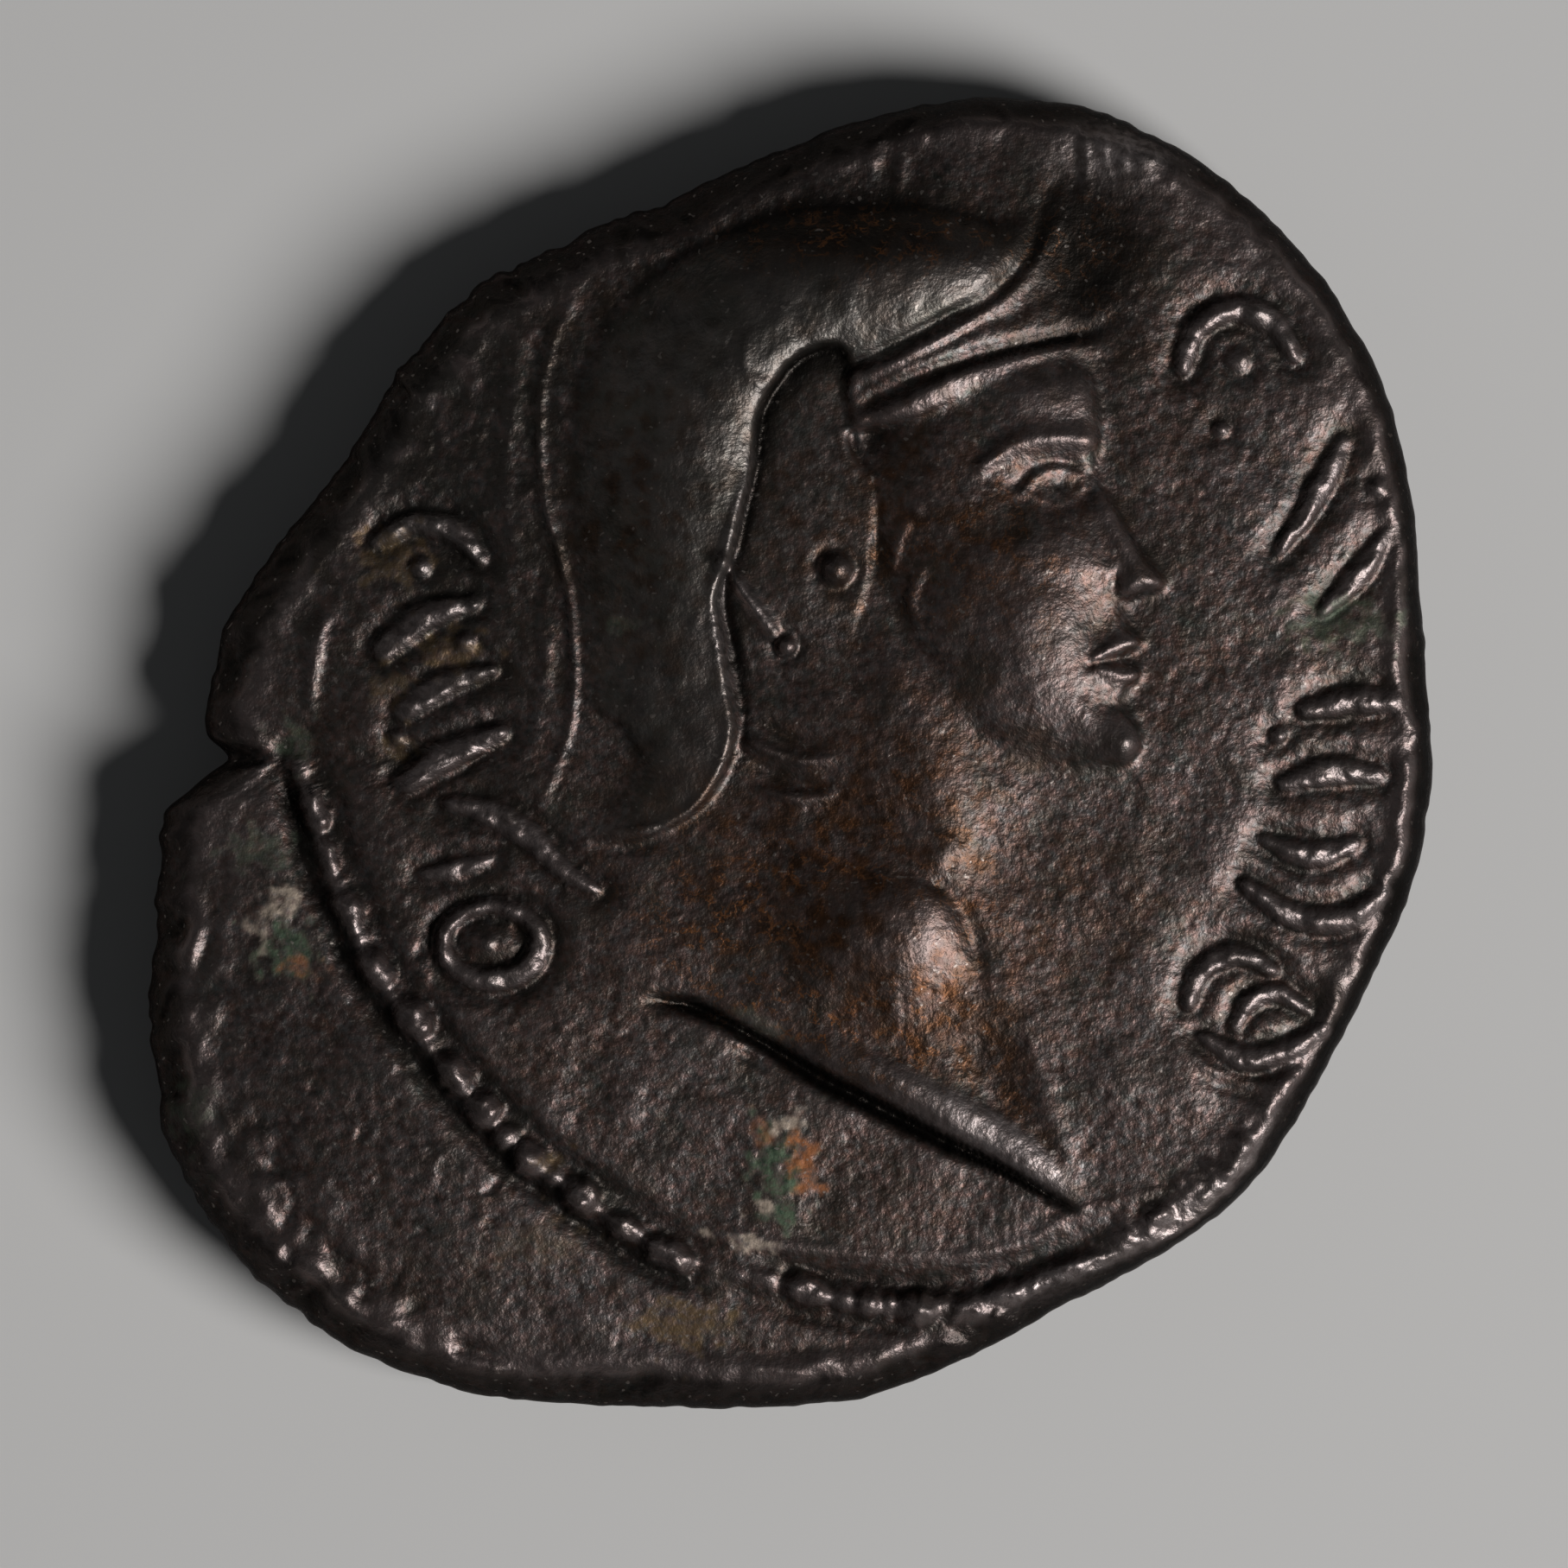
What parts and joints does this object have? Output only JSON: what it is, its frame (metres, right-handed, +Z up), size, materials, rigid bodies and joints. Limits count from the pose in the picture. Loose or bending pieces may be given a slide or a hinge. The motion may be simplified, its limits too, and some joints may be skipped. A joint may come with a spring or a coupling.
{
  "type": "iron age bronze coin",
  "caption": "Small struck bronze coin on an irregular flan, with a helmeted head to the right in high relief, a beaded border and rows of raised strokes, lying flat.",
  "frame": {"origin": "under the middle of the flan's box, on the plane that the reverse's worn rim lies on", "axes": "+Z up out of the obverse, +Y towards the top of the head, +X the way the head faces"},
  "size_m": [0.014, 0.0142, 0.0024],
  "materials": {
    "patinated_bronze": "dark chocolate brown patina, glossy and worn on the high points, with earth and green-grey corrosion in the hollows"
  },
  "bodies": {
    "root": {"coin": "patinated_bronze"}
  },
  "joints": []
}
